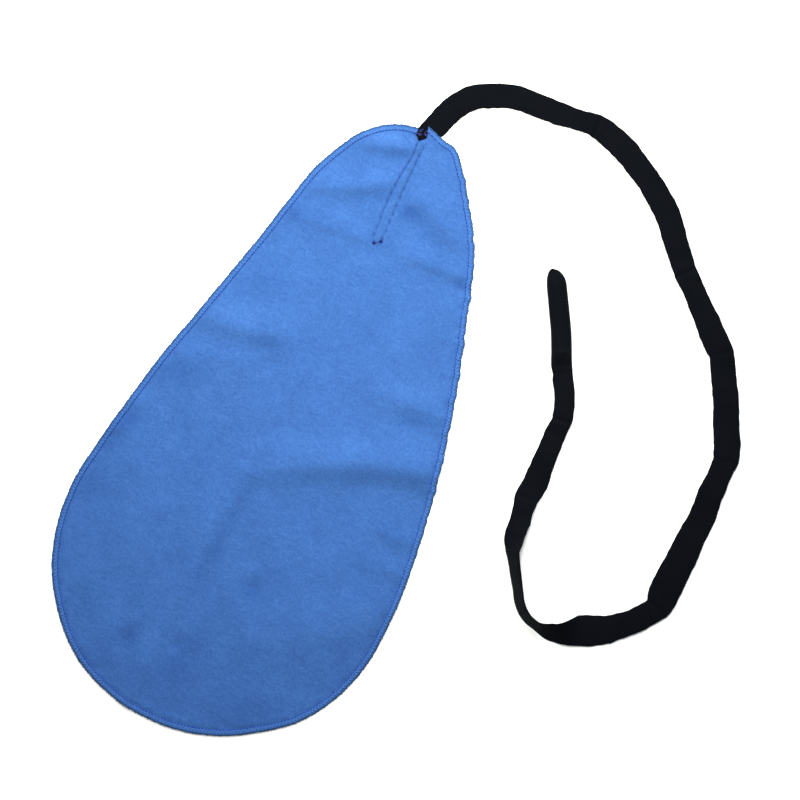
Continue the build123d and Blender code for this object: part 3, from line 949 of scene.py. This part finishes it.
def cloth_surface():
    """The upper face, as rings of points that run up the right side and then the left, and insets.

    The first rings follow the edge. The others close in on a spine, up the middle of the cloth.
    """
    rims = np.array(RIM_INSETS)[:, None] * MM
    depth = 1 - (1 - np.arange(1, INNER_RINGS + 1) / INNER_RINGS) ** 1.5
    along = {side: np.linspace(0, side_length(side), COLUMNS + 1) for side in SIDES}
    edges = {side: cloth_points(side, along[side], rims) for side in SIDES}
    level = (edges[1][-1, :, 1] + edges[-1][-1, :, 1]) / 2
    rise = (level - level.min()) / np.ptp(level)
    foot, head = np.array(SPINE) * MM
    spine = foot + rise[:, None] * (head - foot)
    slit_foot = (edges[1][-1, -1] + edges[-1][-1, -1]) / 2
    surfaces, insets = {}, {}
    for side in SIDES:
        outer = edges[side][-1, :, :2].copy()
        outer[-1] = slit_foot[:2]
        place = outer + depth[:, None, None] * (spine - outer)
        inset = rims[-1] + depth[:, None] * np.linalg.norm(spine - outer, axis=1)
        inner = on_cloth(place, inset, side, np.broadcast_to(along[side], inset.shape))
        surfaces[side] = np.concatenate([edges[side], inner])
        insets[side] = np.concatenate([np.broadcast_to(rims, (len(rims), COLUMNS + 1)), inset]) / MM
    shared = (surfaces[1][len(rims) - 1 :, -1] + surfaces[-1][len(rims) - 1 :, -1]) / 2
    for side in SIDES:
        surfaces[side][len(rims) - 1 :, -1] = shared
    return tuple(np.concatenate([part[1], part[-1]], axis=1) for part in (surfaces, insets))


def cloth_faces():
    """The faces of both layers, and of the walls between them round the edge and in the slit."""
    slit = len(RIM_INSETS)
    rings, wide = slit + INNER_RINGS, COLUMNS + 1
    ids = np.arange(rings * 2 * wide).reshape(rings, 2 * wide)
    count = ids.size
    ids[:, wide] = ids[:, 0]
    ids[slit - 1 :, -1] = ids[slit - 1 :, COLUMNS]
    ids[-1, wide:] = ids[-1, :wide]
    faces = []
    for block, turned in ((ids[:, :wide], 1), (ids[:, wide:], -1)):
        quads = np.stack([block[:-1, :-1], block[:-1, 1:], block[1:, 1:], block[1:, :-1]], axis=-1)
        quads = quads.reshape(-1, 4)[:, ::turned]
        faces += [quads, quads[:, ::-1] + count]
        for line in (block[0], block[:slit, -1]):
            a, b = line[:-1], line[1:]
            faces.append(np.stack([a, a + count, b + count, b], axis=-1)[:, ::turned])
    return np.concatenate(faces)


def make_cloth():
    """The panel: an upper and a lower face that meet round the edge, with a slit at the neck."""
    upper, inset = cloth_surface()
    x, y = upper[..., 0] / MM, upper[..., 1] / MM
    over_tail = climb(x, -6.5, 1.5) * (1 - climb(x, 16, 8))
    over_tail *= climb(y, 112, 5) * (1 - climb(y, 178, 5))
    lower = upper.copy()
    lower[..., 2] = (upper[..., 2] - CLOTH_THICKNESS) * (1 - over_tail) + 0.02 * MM
    points = np.concatenate([upper, lower]).reshape(-1, 3)
    crease, nap = cloth_crease(x, y, inset), cloth_nap(x, y, inset)
    used, faces = np.unique(cloth_faces(), return_inverse=True)
    crease = np.concatenate([crease, 0 * crease]).reshape(-1)[used]
    nap = np.concatenate([nap, nap]).reshape(-1)[used]
    cloth = add_mesh("cloth_panel_suede", points[used], faces.reshape(-1, 4), crease=crease, nap=nap)
    return dress(cloth, suede_material(), "cloth_panel")


# ---- the threads


def stitch_steps(side, points):
    """A side's length, the points along it counted in overlock stitches, and a stitch's length."""
    total = side_length(side)
    stitches = round(total / OVERLOCK_PITCH)
    return total, np.arange(stitches * points + 1) / points, total / stitches


def overlock_path(side, phase, inner, outer, below, points):
    """A looper thread, in to the needle line and out round the edge once a stitch, and its shades.

    The upper looper's loops are wide on the cloth, and the lower looper's run along the edge.
    """
    total, t, pitch = stitch_steps(side, points)
    swing = 1 - pulse(t + phase)
    reach = smooth(1.7 * swing) if below else swing**0.8
    lean = (-0.16 if below else 0.22) * np.sin(math.tau * (t + phase))
    distance = np.clip((t + lean) * pitch, 0, total)
    inset = inner + (outer - inner) * reach + 0.12 * MM * ripple(t, (7.3, 3.1, 1.9), 31 + side)
    path = cloth_points(side, distance, np.maximum(inset, 0.0))
    past_edge = np.minimum(inset, 0.0)
    path[:, :2] += flat_outline(side, distance, past_edge) - flat_outline(side, distance, 0.0)
    wrap = climb(swing, 0.86, 0.14)
    if below:
        path[:, 2] += (0.7 * wrap - 1) * CLOTH_THICKNESS - 0.12 * MM
        path[:, 2] = np.maximum(path[:, 2], 0.16 * MM)
    else:
        path[:, 2] += 0.13 * MM - 0.6 * wrap * CLOTH_THICKNESS
    return path, climb(swing, 0.5, 0.25)


def needle_path(side):
    """The needle thread: straight between its holes, which pull it down into the cloth."""
    _, t, pitch = stitch_steps(side, 8)
    path = cloth_points(side, t * pitch, NEEDLE_INSET)
    hole = np.abs(np.sin(math.pi * t)) ** 0.6
    path[:, 2] += (0.16 * hole - 0.28 * (1 - hole)) * MM
    return path


def make_overlock():
    """The three threads of the overlock. The upper looper looks darker where it turns the edge."""
    blue = thread_material("blue_overlock_thread", (0.044, 0.135, 0.43), (0.080, 0.205, 0.56))
    royal = thread_material("blue_needle_thread", (0.006, 0.026, 0.25), (0.012, 0.045, 0.34))
    teal = thread_material("teal_edge_thread", (0.008, 0.034, 0.085), (0.016, 0.058, 0.135))
    upper, shades = zip(*(overlock_path(s, 0.0, 2.9 * MM, -0.1 * MM, False, 10) for s in SIDES))
    lower, _ = zip(*(overlock_path(s, 0.5, 2.7 * MM, -0.22 * MM, True, 12) for s in SIDES))
    needle = [needle_path(s) for s in SIDES]
    made = []
    for thread, paths, size, material, shade in (
        ("upper_looper", upper, 1.0, blue, shades),
        ("lower_looper", lower, 1.3, teal, None),
        ("needle", needle, 1.1, royal, None),
    ):
        piece = add_threads(f"overlock_{thread}_stitches", paths, size * THREAD_RADIUS, 5, shade)
        made.append(dress(piece, material, f"overlock_{thread}_thread"))
    return made


def surface_path(x, y):
    """A path over the pleat, at x, y in mm, at the height of the cloth's upper face."""
    far_in = np.full(x.shape, 40 * MM)
    return on_cloth(np.stack([x, y], axis=-1) * MM, far_in, 1, np.zeros(x.shape))


def pleat_stitches(row):
    """One row of stitches down the pleat: short on the upper face, and long below it."""
    y = np.arange(117.0, 180.0, 0.3)
    path = surface_path(read(y, row), y)
    shown = climb(pulse(y, SEAM_PITCH / MM), 0.625, 0.25)
    path[:, 2] += (0.14 * shown - 0.55 * (1 - shown)) * MM
    bobbin = path.copy()
    bobbin[:, 2] = (0.13 + 0.5 * shown) * MM
    return [path, bobbin]


def foot_tack_strands():
    """The backstitching at the pleat's foot: a knot at each row, and a thread between them."""
    strands = []
    for i, (knot_x, knot_y) in enumerate(FOOT_KNOTS * 3):
        turn = np.linspace(0, math.tau * 1.2, 22) + 1.9 * i
        reach = 0.35 + 0.12 * i
        path = surface_path(knot_x + reach * np.cos(turn), knot_y + 0.7 * reach * np.sin(turn))
        path[:, 2] += (0.10 + 0.05 * i + 0.12 * np.sin(2 * turn)) * MM
        strands.append(path)
    (x0, y0), (x1, y1) = FOOT_KNOTS
    t = np.linspace(0, 1, 17)
    link = surface_path(x0 + t * (x1 - x0), y0 + t * (y1 - y0))
    link[:, 2] += (0.02 + 0.10 * np.sin(3 * math.pi * t) ** 2) * MM
    return strands + [link]


def make_pleat_threads():
    """The pleat's two rows of stitches, and the tack at its foot."""
    blue = thread_material("blue_seam_thread", (0.014, 0.042, 0.17), (0.028, 0.080, 0.28))
    navy = thread_material("navy_tack_thread", (0.006, 0.008, 0.085), (0.012, 0.020, 0.150))
    made = []
    for node, strands, radius, material in (
        ("pleat_seam_left", pleat_stitches(LEFT_ROW), 0.19 * MM, blue),
        ("pleat_seam_right", pleat_stitches(RIGHT_ROW), 0.19 * MM, blue),
        ("pleat_foot_tack", foot_tack_strands(), 0.16 * MM, navy),
    ):
        piece = add_threads(f"{node}_stitches", strands, radius, 5)
        made.append(dress(piece, material, node))
    return made


def make_neck_tack():
    """Overcast loops of thread at both lips of the slit, which catch the strap's edges."""
    violet = thread_material("violet_tack_thread", (0.007, 0.007, 0.055), (0.065, 0.07, 0.29))
    random = np.random.default_rng(42)
    strands = []
    for lip_x, lip_z, tape_x, tape_z, first, last in (
        (-8.3, 1.3, -5.0, 3.0, 181.2, 184.8),
        (-0.5, 3.2, -3.3, 2.9, 183.0, 187.4),
    ):
        for y in np.linspace(first, last, 7):
            t = np.linspace(0, 1, 15)
            shake = random.uniform(-0.8, 0.8, 4)
            x = lip_x + shake[0] + t * (tape_x - lip_x + shake[1])
            across = y + shake[2] + t * (0.9 + shake[3])
            z = lip_z + smooth(t) * (tape_z - lip_z) + 0.9 * np.sin(math.pi * t) - 0.35
            strands.append(np.stack([x, across, z], axis=-1) * MM)
    tack = add_threads("neck_tack_stitches", strands, 0.17 * MM, 6)
    return dress(tack, violet, "neck_tack")


# ---- everything

make_camera()
black_tape = tape_material()
tape_points, tape_along = tape_course()
strap, strap_centres, strap_joint = make_tape(tape_points, tape_along, black_tape)
tail = make_tail(strap_centres[0], black_tape)
weighted_end = make_weighted_end(tape_points, strap_joint, black_tape)
weight_threads = make_weight_threads()
slug = make_slug()
cloth = make_cloth()
overlock = make_overlock()
seams = make_pleat_threads()
neck_tack = make_neck_tack()
make_stage()
